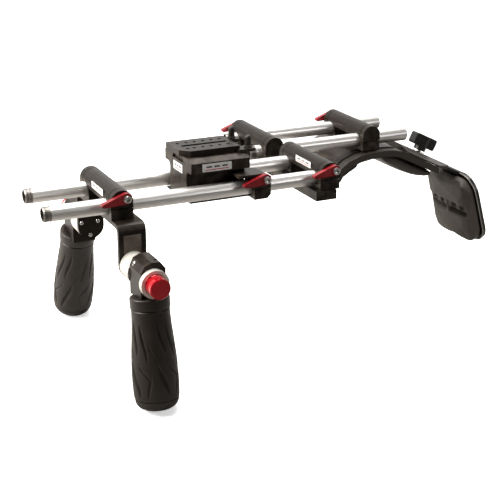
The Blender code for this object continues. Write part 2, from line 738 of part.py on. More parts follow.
def camera_base():
    joint = "camera_base_slide"
    section = [
        (BASE_NECK_HALF, BASE_BOTTOM),
        (BASE_NECK_HALF, BASE_STEP_Z - 4 * MM),
        (BASE_NECK_HALF + 3 * MM, BASE_STEP_Z),
        (BASE_HALF_WIDTH, BASE_STEP_Z),
        (BASE_HALF_WIDTH, BASE_SHOULDER_Z),
        (BASE_SHOULDER_HALF, BASE_TOP),
        (DOVETAIL_NARROW, BASE_TOP),
        (DOVETAIL_WIDE, DOVETAIL_FLOOR),
    ]
    section += [(-a, b) for a, b in reversed(section)]
    part("base_block", prism("Y", section, BASE_Y_LOW, BASE_Y_HIGH), black_anodised(), joint)

    top = BASE_BOTTOM - GAP
    keeper_low = (-KEEPER_HALF_WIDTH, BASE_Y_LOW, top - KEEPER_THICKNESS)
    part("base_keeper_plate", box(keeper_low, (KEEPER_HALF_WIDTH, BASE_Y_HIGH, top)),
         black_anodised(), joint)

    # Side clamp: a block round the left rod, with a flange that laps the block's side.
    y_low, y_high = SIDE_CLAMP_Y_LOW, SIDE_CLAMP_Y_HIGH
    x_low, x_high = SIDE_CLAMP_X_LOW, SIDE_CLAMP_X_HIGH
    middle = (y_low + y_high) / 2
    half = (y_high - y_low) / 2
    outline = [(y_low, CLAMP_BOTTOM), (y_high - 4 * MM, CLAMP_BOTTOM), (y_high, CLAMP_BOTTOM + 4 * MM)]
    outline += arc((middle, SIDE_CLAMP_TOP - half), half, 0, 90, 6)
    outline += [(y_low, SIDE_CLAMP_TOP)]
    block = prism("X", outline, x_low, x_high)
    flange = box((x_low, SIDE_FLANGE_Y_LOW, SIDE_FLANGE_BOTTOM), (x_high, y_low + 3 * MM, SIDE_CLAMP_TOP))
    reach = y_high + REACH
    rod_hole = cylinder("Y", ROD_RADIUS + GAP, y_low - REACH, reach, (ROD_SPACING / 2, 0.0))
    slit_low = (ROD_SPACING / 2, y_low - REACH, -CLAMP_SLIT / 2)
    slit = box(slit_low, (x_high + REACH, reach, CLAMP_SLIT / 2))
    bolt = (SIDE_BOLT_Y, BOLT_Z)
    bolt_hole = cylinder("X", BOLT_RADIUS + GAP, x_low + 3 * MM, x_high + REACH, bolt, 16)
    part("base_clamp_body", block, black_anodised(), joint, [rod_hole, slit, bolt_hole], [flange])
    lever_and_bolt("base_clamp", x_high, x_low + 4 * MM, 1, bolt[0], bolt[1], "base_lever_hinge")


def camera_plate():
    """The sliding plate: dovetail tongue below, slot and two rows of holes, rear fork."""
    joint = "camera_plate_slide"
    half = PLATE_HALF_WIDTH
    outline = [
        (-half, PLATE_Y_LOW),
        (half - PLATE_CORNER, PLATE_Y_LOW),
        (half, PLATE_Y_LOW + PLATE_CORNER),
        (half, PLATE_Y_HIGH),
        (-half, PLATE_Y_HIGH),
    ]
    plate = prism("Z", outline, PLATE_BOTTOM, PLATE_TOP)
    tongue_low = DOVETAIL_FLOOR + GAP
    tongue_top = PLATE_BOTTOM + REACH
    lean = (DOVETAIL_WIDE - DOVETAIL_NARROW) / (BASE_TOP - DOVETAIL_FLOOR)
    wide = DOVETAIL_WIDE - 2 * GAP
    narrow = wide - lean * (tongue_top - tongue_low)
    section = [(-wide, tongue_low), (wide, tongue_low), (narrow, tongue_top), (-narrow, tongue_top)]
    joins = [prism("Y", section, PLATE_Y_LOW + 6 * MM, PLATE_Y_HIGH - 2 * MM)]
    for side in (-1, 1):
        x = side * FORK_X
        fork_low = (x - FORK_HALF_WIDTH, PLATE_Y_HIGH - 3 * MM, PLATE_BOTTOM)
        joins.append(box(fork_low, (x + FORK_HALF_WIDTH, FORK_END_Y, FORK_TOP)))
    top = PLATE_TOP + REACH
    slot_low = (-SLOT_HALF_WIDTH, SLOT_Y_LOW, tongue_low - REACH)
    cuts = [box(slot_low, (SLOT_HALF_WIDTH, SLOT_Y_HIGH, top))]
    for side in (-1, 1):
        for k in range(HOLE_COUNT):
            y = HOLE_FIRST_Y + k * HOLE_PITCH
            if side > 0 and k == 0:
                y = y + 2 * MM
            centre = (side * HOLE_ROW_X, y)
            cuts.append(cylinder("Z", HOLE_RADIUS, PLATE_TOP - 4 * MM, top, centre, 12))
    part("camera_plate", plate, black_anodised(), joint, cuts, joins)

    for label, side in (("left", 1), ("right", -1)):
        low = FORK_TOP + GAP
        profile = [(0.0, low), (POST_RADIUS + 0.8 * MM, low), (POST_RADIUS + 0.8 * MM, low + 1 * MM)]
        profile.append((POST_RADIUS, low + 1.4 * MM))
        for k in range(5):
            turn = math.radians(18 * k)
            profile.append((POST_RADIUS * math.cos(turn), POST_TOP + POST_RADIUS * (math.sin(turn) - 1)))
        profile.append((0.0, POST_TOP))
        post = turned("Z", profile, (side * FORK_X, POST_Y), 20)
        part(f"{label}_stop_post", post, black_rubber(), joint)

    screw = [
        (0.0, tongue_low + 1 * MM),
        (SCREW_RADIUS, tongue_low + 1 * MM),
        (SCREW_RADIUS, PLATE_TOP - 1.5 * MM),
        (0.0, PLATE_TOP - 1.5 * MM),
    ]
    part("camera_screw", turned("Z", screw, (0.0, SCREW_Y), 20), satin_steel(), "camera_screw_slide")


# --- offset base -----------------------------------------------------------------------------

def offset_base():
    """The bar under both rod pairs.  Its right part is milled lower for the rear pair."""
    top = CLAMP_BOTTOM - GAP
    low_top = top + REAR_PAIR_Z
    end = REAR_PAIR_X - CLAMP_HALF_WIDTH - 1.5 * MM
    outline = [
        (OFFSET_BAR_END_X, OFFSET_BAR_BOTTOM),
        (OFFSET_BAR_END_X, top),
        (OFFSET_STEP_X, top),
        (OFFSET_STEP_X, low_top),
        (end, low_top),
        (end, OFFSET_BAR_BOTTOM),
    ]
    bar = prism("Y", outline, OFFSET_BAR_Y_LOW, OFFSET_BAR_Y_HIGH)
    part("offset_base_bar", bar, black_anodised())
    rod_clamp("front_pair", 0.0, OFFSET_CLAMP_Y, 0.0, 1, "rig_origin", "front_pair_lever_hinge")
    rod_clamp("rear_pair", REAR_PAIR_X, OFFSET_CLAMP_Y, REAR_PAIR_Z, -1, "rig_origin",
              "rear_pair_lever_hinge")


# --- shoulder saddle -------------------------------------------------------------------------

def crest_height(y):
    """Height of the saddle's top surface: the crest points, then an even rear slope."""
    for first, second in zip(SADDLE_CREST, SADDLE_CREST[1:]):
        if y <= second[0]:
            share = (y - first[0]) / (second[0] - first[0])
            return first[1] + share * (second[1] - first[1])
    last = SADDLE_CREST[-1]
    return last[1] - (y - last[0]) * math.tan(SADDLE_SLOPE)


def crest_between(y_low, y_high):
    inner = [point for point in SADDLE_CREST if y_low < point[0] < y_high]
    return [(y_low, crest_height(y_low))] + inner + [(y_high, crest_height(y_high))]


def lowered(line, depth):
    """The same line moved down by the depth, square to itself."""
    return strip(line, depth)[len(line):][::-1]


def rounded_front(outline):
    """The strip's front end made round: the outline's first and last points become an arc."""
    top, low = Vector(outline[0]), Vector(outline[-1])
    middle, half = (top + low) / 2, (top - low) / 2
    ahead = Vector((-abs(half.y), half.x * (1 if half.y > 0 else -1)))
    nose = []
    for k in range(1, 6):
        turn = math.pi * k / 6
        nose.append(tuple(middle - half * math.cos(turn) + ahead * math.sin(turn)))
    return outline + nose


def cushion_outline(y_range, depth, power):
    """A foam pad below the shell: flat against it, swelling to the depth between its ends."""
    y_low, y_high = y_range
    steps = 9
    line = [y_low + (y_high - y_low) * k / steps for k in range(steps + 1)]
    under = [(y, crest_height(y)) for y in line]
    top = lowered(under, SADDLE_THICKNESS + GAP)
    base = []
    for k, point in enumerate(top):
        swell = math.sin(math.pi * (k + 0.5) / (steps + 1)) ** power
        base.append((point[0] - depth * 0.25 * swell, point[1] - depth * swell))
    return top + base[::-1]


def slope_frame(along):
    """A frame on the saddle's rear slope: +Y down the slope, +Z square to it, x = 0 central."""
    y = TAIL_START + along * math.cos(SADDLE_SLOPE)
    turn = Matrix.Rotation(-SADDLE_SLOPE, 4, "X")
    return Matrix.Translation((REAR_PAIR_X, y, crest_height(y))) @ turn


def slope_box(x_half, along, above):
    """A box on the slope, from and to the given places along it and above its surface."""
    return moved(box((-x_half, along[0], above[0]), (x_half, along[1], above[1])), slope_frame(0.0))


def shoulder_saddle():
    joint = "pad_clamp_slide"
    x_low = REAR_PAIR_X - SADDLE_HALF_WIDTH
    x_high = REAR_PAIR_X + SADDLE_HALF_WIDTH
    line = crest_between(SADDLE_CREST[0][0], SADDLE_END_Y)
    outline = rounded_front(strip(line, SADDLE_THICKNESS))
    shell = prism("X", outline, x_low, x_high)
    spine_x = (REAR_PAIR_X - SPINE_HALF_WIDTH, REAR_PAIR_X + SPINE_HALF_WIDTH)
    seat = crest_between(SPINE_Y_LOW - GAP, SPINE_Y_HIGH + GAP)
    recess_outline = lowered(seat, -3 * MM) + lowered(seat, SPINE_RECESS)[::-1]
    cuts = [prism("X", recess_outline, spine_x[0] - GAP, spine_x[1] + GAP)]
    end = SADDLE_END_Y + CUTTER_MARGIN
    for side in (-1, 1):
        wedge = [
            (REAR_PAIR_X + side * (SADDLE_HALF_WIDTH + REACH), SADDLE_TAPER_Y),
            (REAR_PAIR_X + side * SADDLE_HALF_WIDTH, SADDLE_TAPER_Y),
            (REAR_PAIR_X + side * SADDLE_TAIL_HALF, SADDLE_END_Y),
            (REAR_PAIR_X + side * SADDLE_TAIL_HALF, end),
            (REAR_PAIR_X + side * (SADDLE_HALF_WIDTH + REACH), end),
        ]
        cuts.append(prism("Z", wedge, -CUTTER_DEPTH, 0.0))

    # The shell's underside rises towards the tail, so that its edge thins out there.
    thin_start, thin_end = THINNING_ALONG
    thin = [
        (thin_start, -SADDLE_THICKNESS - GAP),
        (thin_end, -SADDLE_END_THICKNESS),
        (thin_end + CUTTER_MARGIN, -SADDLE_END_THICKNESS),
        (thin_end + CUTTER_MARGIN, -CUTTER_DEPTH),
        (thin_start, -CUTTER_DEPTH),
    ]
    half = SADDLE_HALF_WIDTH + CUTTER_MARGIN
    cuts.append(moved(prism("X", thin, -half, half), slope_frame(0.0)))
    part("saddle_shell", shell, black_rubber(), joint, cuts)

    base = lowered(crest_between(SPINE_Y_LOW, SPINE_Y_HIGH), SPINE_RECESS - GAP)
    spine = prism("X", lowered(base, -SPINE_THICKNESS) + base[::-1], *spine_x)
    part("saddle_spine", spine, black_anodised(), joint)

    outline = cushion_outline(FRONT_CUSHION_Y, FRONT_CUSHION_DEPTH, 0.5)
    part("front_cushion", prism("X", outline, x_low, x_high), dark_foam(), joint)
    outline = cushion_outline(REAR_CUSHION_Y, REAR_CUSHION_DEPTH, 0.5)
    cushion_x = (REAR_PAIR_X - REAR_CUSHION_HALF, REAR_PAIR_X + REAR_CUSHION_HALF)
    part("rear_cushion", prism("X", outline, *cushion_x), dark_foam(), joint)

    # The tail cover is a low roof.  The back pad's arm slides in a channel beneath it.
    roof = [
        (-TAIL_FOOT_HALF, GAP),
        (TAIL_FOOT_HALF, GAP),
        (TAIL_FOOT_HALF, 2 * MM),
        (TAIL_RIDGE_HALF, TAIL_TOP),
        (-TAIL_RIDGE_HALF, TAIL_TOP),
        (-TAIL_FOOT_HALF, 2 * MM),
    ]
    cover = moved(prism("Y", roof, *TAIL_ALONG), slope_frame(0.0))
    channel = slope_box(ARM_HALF_WIDTH + GAP, (CHANNEL_START, TAIL_ALONG[1] + REACH),
                        (-REACH, ARM_THICKNESS + 2 * GAP))
    slot = slope_box(SLOT_HALF, SLOT_ALONG, (ARM_THICKNESS - REACH, TAIL_TOP + REACH))
    cuts = [channel, slot]
    for side in (-1, 1):
        wedge = [
            (side * (TAIL_FOOT_HALF + REACH), TAIL_TAPER),
            (side * TAIL_FOOT_HALF, TAIL_TAPER),
            (side * TAIL_END_HALF, TAIL_ALONG[1]),
            (side * TAIL_END_HALF, TAIL_ALONG[1] + REACH),
            (side * (TAIL_FOOT_HALF + REACH), TAIL_ALONG[1] + REACH),
        ]
        cuts.append(moved(prism("Z", wedge, -REACH, TAIL_TOP + REACH), slope_frame(0.0)))
    part("tail_cover", cover, black_rubber(), joint, cuts)


def back_frame():
    """A frame on the back plate: +Y out of its rear face, +Z up along it."""
    place_it = Matrix.Translation((REAR_PAIR_X, BACK_CORNER_Y, BACK_CORNER_Z))
    return place_it @ Matrix.Rotation(BACK_TILT, 4, "X")


def back_outline(half, low, high, radius):
    corners = [(-half, low), (half, low), (half, high), (-half, high)]
    return rounded(corners, radius, 5)


def back_pad():
    joint = "back_pad_slide"
    frame = back_frame()
    outline = back_outline(BACK_HALF_WIDTH, -BACK_HEIGHT, 3 * MM, BACK_ROUNDING)
    plate = moved(prism("Y", outline, -BACK_THICKNESS, 0.0), frame)
    arm = slope_box(ARM_HALF_WIDTH, (ARM_START, ARM_END), (GAP, GAP + ARM_THICKNESS))
    stud_hole = cylinder("Z", STUD_RADIUS + GAP, -REACH, ARM_THICKNESS + 2 * REACH, segments=20)
    part("back_plate", plate, black_plastic(), joint, [moved(stud_hole, slope_frame(KNOB_ALONG))], [arm])

    rear = -BACK_THICKNESS - GAP
    front = rear - BACK_CUSHION_DEPTH
    outline = back_outline(BACK_HALF_WIDTH - 0.5 * MM, -BACK_HEIGHT + 0.5 * MM, 2.5 * MM, BACK_ROUNDING)
    cushion = moved(prism("Y", outline, front, rear), frame)
    clear = [
        (NOTCH_FRONT, NOTCH_FRONT_LOW),
        (rear + REACH, NOTCH_REAR_LOW),
        (rear + REACH, NOTCH_TOP),
        (NOTCH_FRONT, NOTCH_TOP),
    ]
    half = ARM_HALF_WIDTH + 1.5 * MM
    clearance = moved(prism("X", clear, -half, half), frame)
    part("back_cushion", cushion, dark_foam(), joint, [clearance])

    at_knob = slope_frame(KNOB_ALONG)
    stud = cylinder("Z", STUD_RADIUS, 2 * GAP, STUD_TOP, segments=20)
    part("knob_stud", moved(stud, at_knob), satin_steel(), joint)
    low = TAIL_TOP + GAP
    washer = tube("Z", WASHER_RADIUS, STUD_RADIUS + GAP, low, low + WASHER_THICKNESS)
    part("knob_washer", moved(washer, at_knob), satin_steel(), joint)


def wing_knob():
    at_knob = slope_frame(KNOB_ALONG)
    hub = cylinder("Z", KNOB_HUB_RADIUS, KNOB_BASE, KNOB_TOP - 2 * MM)
    ends = back_outline(KNOB_HALF_SPAN, KNOB_WING_BASE, KNOB_TOP, 2.5 * MM)
    wing = prism("Y", ends, -KNOB_HALF_WIDTH, KNOB_HALF_WIDTH)
    bore = cylinder("Z", STUD_RADIUS + GAP, KNOB_BASE - REACH, STUD_TOP + GAP, segments=20)
    quarter = Matrix.Rotation(math.radians(90), 4, "Z")
    part("wing_knob", moved(hub, at_knob), black_plastic(), "knob_hinge",
         [moved(bore, at_knob)], [moved(wing, at_knob @ quarter)])


# --- the whole rig ---------------------------------------------------------------------------

def joints():
    """One empty on each joint's axis, in a tree that starts at the rig's own origin."""
    empty("rig_origin", (0.0, 0.0, 0.0))
    lever_x = CLAMP_HALF_WIDTH
    empty("front_clamp_slide", (0.0, FRONT_CLAMP_Y, 0.0), "rig_origin")
    empty("front_lever_hinge", (lever_x, FRONT_CLAMP_Y + BOLT_Y, BOLT_Z), "front_clamp_slide")
    for label, side in (("left", 1), ("right", -1)):
        hinge = f"{label}_handle_hinge"
        empty(hinge, (side * BARREL_END_X, HUB_Y, HUB_Z), "front_clamp_slide")
        empty(f"{label}_button_slide", (side * RING_END_X, HUB_Y, HUB_Z), hinge)
    empty("camera_base_slide", (0.0, (BASE_Y_LOW + BASE_Y_HIGH) / 2, 0.0), "rig_origin")
    empty("base_lever_hinge", (SIDE_CLAMP_X_HIGH, SIDE_BOLT_Y, BOLT_Z), "camera_base_slide")
    empty("camera_plate_slide", (0.0, PLATE_Y_LOW, PLATE_TOP), "camera_base_slide")
    empty("camera_screw_slide", (0.0, SCREW_Y, PLATE_TOP), "camera_plate_slide")
    bolt_y = OFFSET_CLAMP_Y + BOLT_Y
    empty("front_pair_lever_hinge", (lever_x, bolt_y, BOLT_Z), "rig_origin")
    rear_lever = (REAR_PAIR_X - lever_x, bolt_y, REAR_PAIR_Z + BOLT_Z)
    empty("rear_pair_lever_hinge", rear_lever, "rig_origin")
    empty("rear_rods_slide", (REAR_PAIR_X, REAR_ROD_START, REAR_PAIR_Z), "rig_origin")
    empty("pad_clamp_slide", (REAR_PAIR_X, PAD_CLAMP_Y, REAR_PAIR_Z), "rear_rods_slide")
    pad_lever = (REAR_PAIR_X - lever_x, PAD_CLAMP_Y + BOLT_Y, REAR_PAIR_Z + BOLT_Z)
    empty("pad_lever_hinge", pad_lever, "pad_clamp_slide")
    knob = slope_frame(KNOB_ALONG).translation
    empty("back_pad_slide", knob, "pad_clamp_slide")
    empty("knob_hinge", knob, "back_pad_slide")


def build():
    clear_scene()
    joints()
    rods()
    rod_clamp("front", 0.0, FRONT_CLAMP_Y, 0.0, 1, "front_clamp_slide", "front_lever_hinge")
    handle_bracket()
    handle("left", 1)
    handle("right", -1)
    camera_base()
    camera_plate()
    offset_base()
    rod_clamp("pad", REAR_PAIR_X, PAD_CLAMP_Y, REAR_PAIR_Z, -1, "pad_clamp_slide", "pad_lever_hinge")
    shoulder_saddle()
    back_pad()
    wing_knob()


build()
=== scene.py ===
"""Looks of the camera shoulder rig: materials, moulded grips, soft pads, labels and small screws."""
import json
import math

import bmesh
import bpy
import numpy as np
from mathutils import Matrix, Vector


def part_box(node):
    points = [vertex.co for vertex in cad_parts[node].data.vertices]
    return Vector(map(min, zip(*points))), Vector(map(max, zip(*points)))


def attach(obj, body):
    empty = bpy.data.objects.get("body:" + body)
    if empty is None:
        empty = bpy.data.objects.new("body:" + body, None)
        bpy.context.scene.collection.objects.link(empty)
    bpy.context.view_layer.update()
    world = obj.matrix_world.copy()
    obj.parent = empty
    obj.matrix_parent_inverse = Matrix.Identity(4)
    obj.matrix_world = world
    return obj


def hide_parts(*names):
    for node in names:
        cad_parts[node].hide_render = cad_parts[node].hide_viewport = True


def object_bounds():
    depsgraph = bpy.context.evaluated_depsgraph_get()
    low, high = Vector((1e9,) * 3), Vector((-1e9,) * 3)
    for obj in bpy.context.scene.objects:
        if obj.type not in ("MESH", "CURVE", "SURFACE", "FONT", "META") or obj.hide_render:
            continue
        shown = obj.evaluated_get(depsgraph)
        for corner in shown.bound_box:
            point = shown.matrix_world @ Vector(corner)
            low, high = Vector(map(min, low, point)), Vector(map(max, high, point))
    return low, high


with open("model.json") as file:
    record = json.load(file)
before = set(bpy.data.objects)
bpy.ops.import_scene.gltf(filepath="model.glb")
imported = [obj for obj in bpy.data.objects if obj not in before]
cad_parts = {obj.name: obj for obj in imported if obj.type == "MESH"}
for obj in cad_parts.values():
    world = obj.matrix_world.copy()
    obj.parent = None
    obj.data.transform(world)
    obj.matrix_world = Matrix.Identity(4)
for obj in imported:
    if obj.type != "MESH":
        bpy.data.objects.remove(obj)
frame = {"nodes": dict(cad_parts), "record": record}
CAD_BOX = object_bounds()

NODES = frame["nodes"]
MM = 0.001


def at(x, y, z):
    """A place given in the rod frame, in millimetres, as a place in the record's frame."""
    return Vector((x * MM, (y - 147) * MM, (z - 40) * MM))


# --- materials -------------------------------------------------------------------------------

class Shade:
    """A node material: a Principled shader fed by procedural textures in object space."""

    def __init__(self, name):
        self.material = bpy.data.materials.new(name)
        self.material.use_nodes = True
        self.tree = self.material.node_tree
        self.main = self.tree.nodes["Principled BSDF"]
        self.coords = self.add("ShaderNodeTexCoord").outputs["Object"]

    def add(self, kind, **settings):
        node = self.tree.nodes.new(kind)
        for key, value in settings.items():
            setattr(node, key, value)
        return node

    def link(self, output, socket):
        self.tree.links.new(output, socket)

    def set(self, **values):
        for key, value in values.items():
            self.main.inputs[key.replace("_", " ")].default_value = value

    def scaled(self, scale):
        mapping = self.add("ShaderNodeMapping")
        mapping.inputs["Scale"].default_value = scale
        self.link(self.coords, mapping.inputs["Vector"])
        return mapping.outputs["Vector"]

    def noise(self, scale, detail=4.0, rough=0.55, stretch=(1, 1, 1)):
        node = self.add("ShaderNodeTexNoise")
        node.inputs["Scale"].default_value = scale
        node.inputs["Detail"].default_value = detail
        node.inputs["Roughness"].default_value = rough
        self.link(self.scaled(stretch), node.inputs["Vector"])
        return node.outputs["Fac"]

    def ramp(self, value, stops):
        node = self.add("ShaderNodeValToRGB")
        elements = node.color_ramp.elements
        while len(elements) < len(stops):
            elements.new(0.5)
        for element, (place, colour) in zip(elements, stops):
            element.position = place
            if isinstance(colour, (int, float)):
                colour = (colour, colour, colour)
            element.color = tuple(colour) + (1.0,)
        self.link(value, node.inputs["Fac"])
        return node.outputs["Color"]

    def mix(self, factor, first, second):
        node = self.add("ShaderNodeMix", data_type="RGBA")
        self.link(factor, node.inputs[0])
        for value, socket in ((first, node.inputs[6]), (second, node.inputs[7])):
            if isinstance(value, tuple):
                socket.default_value = value + (1.0,)
            else:
                self.link(value, socket)
        return node.outputs[2]

    def math(self, operation, *values):
        node = self.add("ShaderNodeMath", operation=operation)
        for value, socket in zip(values, node.inputs):
            if isinstance(value, (int, float)):
                socket.default_value = value
            else:
                self.link(value, socket)
        return node.outputs[0]

    def bumps(self, *layers):
        """Bump layers as (height output, strength, distance), one on the other."""
        normal = None
        for height, strength, distance in layers:
            node = self.add("ShaderNodeBump")
            node.inputs["Strength"].default_value = strength
            node.inputs["Distance"].default_value = distance
            self.link(height, node.inputs["Height"])
            if normal is not None:
                self.link(normal, node.inputs["Normal"])
            normal = node.outputs["Normal"]
        self.link(normal, self.main.inputs["Normal"])

    def wear(self, colour, light, start=0.53, end=0.62):
        """Lightens convex edges, where handling rubs the finish."""
        geometry = self.add("ShaderNodeNewGeometry")
        edge = self.ramp(geometry.outputs["Pointiness"], [(start, 0.0), (end, 1.0)])
        patches = self.ramp(self.noise(90, 5), [(0.42, 0.0), (0.62, 1.0)])
        return self.mix(self.math("MULTIPLY", edge, patches), colour, light)


def anodised(name, dark, light, worn, rough=0.4):
    """Bead-blasted, anodised aluminium with a fine grain and rubbed edges."""
    shade = Shade(name)
    cloud = shade.ramp(shade.noise(160, 5), [(0.3, dark), (0.7, light)])
    shade.link(shade.wear(cloud, worn, 0.56, 0.68), shade.main.inputs["Base Color"])
    grain = shade.noise(2600, 2)
    shade.link(shade.ramp(shade.noise(180, 4), [(0.3, rough - 0.03), (0.75, rough + 0.04)]),
               shade.main.inputs["Roughness"])
    shade.bumps((grain, 0.16, 0.0002), (shade.noise(900, 3), 0.06, 0.0003))
    shade.set(Specular_IOR_Level=0.2, Specular_Tint=(1.0, 0.93, 0.86, 1.0))
    return shade.material


def drawn_metal(name, dark, light, band_start, band_length):
    """Satin drawn tube with grain along it and a darker turned band at its front end."""
    shade = Shade(name)
    along = shade.noise(2400, 2, 0.5, (1, 0.004, 1))
    ring = shade.noise(900, 2, 0.6, (0.02, 1, 0.02))
    colour = shade.ramp(along, [(0.25, dark), (0.75, light)])
    place = shade.add("ShaderNodeSeparateXYZ")
    shade.link(shade.coords, place.inputs[0])
    band = shade.math("COMPARE", place.outputs["Y"], band_start + band_length / 2, band_length / 2)
    turned = shade.ramp(ring, [(0.3, (0.14, 0.13, 0.12)), (0.7, (0.27, 0.25, 0.23))])
    shade.link(shade.mix(band, colour, turned), shade.main.inputs["Base Color"])
    shade.link(shade.ramp(shade.noise(70, 5), [(0.3, 0.36), (0.8, 0.4)]), shade.main.inputs["Roughness"])
    shade.bumps((along, 0.03, 0.0001))
    shade.set(Metallic=0.85)
    return shade.material


def silver(name):
    """Warm silver anodising with fine turning marks round the joint's cross axis."""
    shade = Shade(name)
    rings = shade.noise(1500, 2, 0.5, (1, 0.03, 0.03))
    colour = shade.ramp(rings, [(0.25, (0.66, 0.64, 0.58)), (0.75, (0.82, 0.8, 0.74))])
    shade.link(colour, shade.main.inputs["Base Color"])
    shade.link(shade.ramp(shade.noise(80, 4), [(0.3, 0.34), (0.8, 0.46)]), shade.main.inputs["Roughness"])
    shade.bumps((rings, 0.12, 0.0002))
    shade.set(Metallic=0.55)
    return shade.material


def bright_steel(name):
    shade = Shade(name)
    colour = shade.ramp(shade.noise(240, 5), [(0.3, (0.58, 0.57, 0.55)), (0.75, (0.8, 0.79, 0.77))])
    shade.link(colour, shade.main.inputs["Base Color"])
    shade.link(shade.ramp(shade.noise(500, 3), [(0.3, 0.18), (0.8, 0.34)]), shade.main.inputs["Roughness"])
    shade.bumps((shade.noise(1800, 2), 0.08, 0.0002))
    shade.set(Metallic=1.0)
    return shade.material


def red_metal(name):
    """Red anodised lever: darker in the hollows, rubbed bright on its edges."""
    shade = Shade(name)
    cloud = shade.ramp(shade.noise(120, 4), [(0.3, (0.24, 0.005, 0.011)), (0.7, (0.36, 0.01, 0.018))])
    shade.link(shade.wear(cloud, (0.6, 0.14, 0.13), 0.58, 0.7), shade.main.inputs["Base Color"])
    shade.link(shade.ramp(shade.noise(300, 4), [(0.3, 0.3), (0.8, 0.42)]), shade.main.inputs["Roughness"])
    shade.bumps((shade.noise(1900, 2), 0.12, 0.0002))
    shade.set(Metallic=0.45, Coat_Weight=0.25, Coat_Roughness=0.2)
    return shade.material


def button_red(name):
    """Polished red button with faint turning rings on its face."""
    shade = Shade(name)
    colour = shade.ramp(shade.noise(60, 3), [(0.3, (0.46, 0.0, 0.008)), (0.7, (0.56, 0.002, 0.012))])
    shade.link(colour, shade.main.inputs["Base Color"])
    shade.link(shade.ramp(shade.noise(150, 4), [(0.3, 0.14), (0.8, 0.22)]), shade.main.inputs["Roughness"])
    shade.bumps((shade.noise(1400, 2, 0.5, (1, 0.2, 0.2)), 0.03, 0.0002))
    shade.set(Metallic=0.45, Coat_Weight=0.5, Coat_Roughness=0.06)
    return shade.material


def rubber(name, dark, light, grain=900, rough=0.62, depth=0.28):
    """Moulded rubber or plastic: fine leathery grain and dusty highs."""
    shade = Shade(name)
    cloud = shade.ramp(shade.noise(34, 5), [(0.3, dark), (0.72, light)])
    geometry = shade.add("ShaderNodeNewGeometry")
    high = shade.ramp(geometry.outputs["Pointiness"], [(0.5, 0.0), (0.6, 0.5)])
    dusty = tuple(value * 1.5 + 0.004 for value in light)
    shade.link(shade.mix(high, cloud, dusty), shade.main.inputs["Base Color"])
    cells = shade.add("ShaderNodeTexVoronoi")
    cells.inputs["Scale"].default_value = grain
    shade.link(shade.coords, cells.inputs["Vector"])
    shade.link(shade.ramp(shade.noise(110, 4), [(0.3, rough - 0.08), (0.8, rough + 0.08)]),
               shade.main.inputs["Roughness"])
    shade.bumps((cells.outputs["Distance"], depth, 0.0003),
                (shade.noise(grain * 1.7, 3), depth * 0.5, 0.0002))
    shade.set(Specular_IOR_Level=0.4)
    return shade.material


def foam(name, dark, light):
    """Foam under a coated, woven cover: crossed threads and a slow colour drift."""
    shade = Shade(name)
    cloud = shade.ramp(shade.noise(30, 6), [(0.28, dark), (0.74, light)])
    threads = []
    for turn in ((0.0, 0.0, 0.0), (0.0, math.radians(25), math.radians(90))):
        wave = shade.add("ShaderNodeTexWave", wave_type="BANDS", bands_direction="X")
        wave.inputs["Scale"].default_value = 420
        wave.inputs["Distortion"].default_value = 1.2
        mapping = shade.add("ShaderNodeMapping")
        mapping.inputs["Rotation"].default_value = turn
        shade.link(shade.coords, mapping.inputs["Vector"])
        shade.link(mapping.outputs["Vector"], wave.inputs["Vector"])
        threads.append(wave.outputs["Fac"])
    weave = shade.math("MULTIPLY", threads[0], threads[1])
    speck = shade.ramp(weave, [(0.1, 0.0), (0.9, 0.35)])
    lit = tuple(min(1.0, value * 1.4) for value in light)
    shade.link(shade.mix(speck, cloud, lit), shade.main.inputs["Base Color"])
    shade.bumps((weave, 0.2, 0.0003), (shade.noise(1500, 3), 0.16, 0.0002))
    shade.set(Roughness=0.5, Specular_IOR_Level=0.4)
    return shade.material


WARM_BLACK = anodised("black_anodised", (0.0092, 0.0068, 0.0053), (0.0132, 0.0099, 0.0079),
                      (0.06, 0.048, 0.038), 0.34)
ROD_DARK, ROD_LIGHT = (0.72, 0.7, 0.68), (0.8, 0.78, 0.755)
BAND_OVERLAP, BAND_LENGTH = 0.0002, 0.0074
FRONT_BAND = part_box("front_rod_left")[0][1] - BAND_OVERLAP
REAR_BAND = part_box("rear_rod_left")[0][1] - BAND_OVERLAP
RODS = drawn_metal("rod_metal", ROD_DARK, ROD_LIGHT, FRONT_BAND, BAND_LENGTH)
REAR_RODS = drawn_metal("rear_rod_metal", ROD_DARK, ROD_LIGHT, REAR_BAND, BAND_LENGTH)
CREAM = silver("silver_anodised")
STEEL = bright_steel("screw_steel")
RED = red_metal("red_anodised")
BUTTON = button_red("red_gloss")
GRIP = rubber("grip_rubber", (0.0115, 0.0084, 0.0062), (0.019, 0.0142, 0.0107), 1300, 0.4)
SADDLE = rubber("saddle_rubber", (0.02, 0.016, 0.0128), (0.031, 0.0252, 0.0205), 800, 0.42)
PLASTIC = rubber("knob_plastic", (0.0065, 0.006, 0.0055), (0.011, 0.0102, 0.0095), 1000, 0.36, 0.12)
FOAM = foam("pad_foam", (0.041, 0.0335, 0.0272), (0.059, 0.0485, 0.0398))
SLOTS = {"black_anodised": WARM_BLACK, "rod_metal": RODS, "silver_anodised": CREAM, "screw_steel": STEEL,
         "red_anodised": RED, "red_gloss": BUTTON, "grip_rubber": GRIP, "saddle_rubber": SADDLE,
         "knob_plastic": PLASTIC, "pad_foam": FOAM}

# Edge bevels as (width, segments).  No bevel is wider than a share of its piece's least side.
FINE_EDGE = (0.0005, 2)
EDGE_SHARE = 0.09
SOFT_EDGES = {"saddle_shell": (0.0028, 5), "tail_cover": (0.0008, 3), "back_plate": (0.0012, 3),
              "wing_knob": (0.0009, 3), "left_push_button": (0.0004, 3), "right_push_button": (0.0004, 3)}


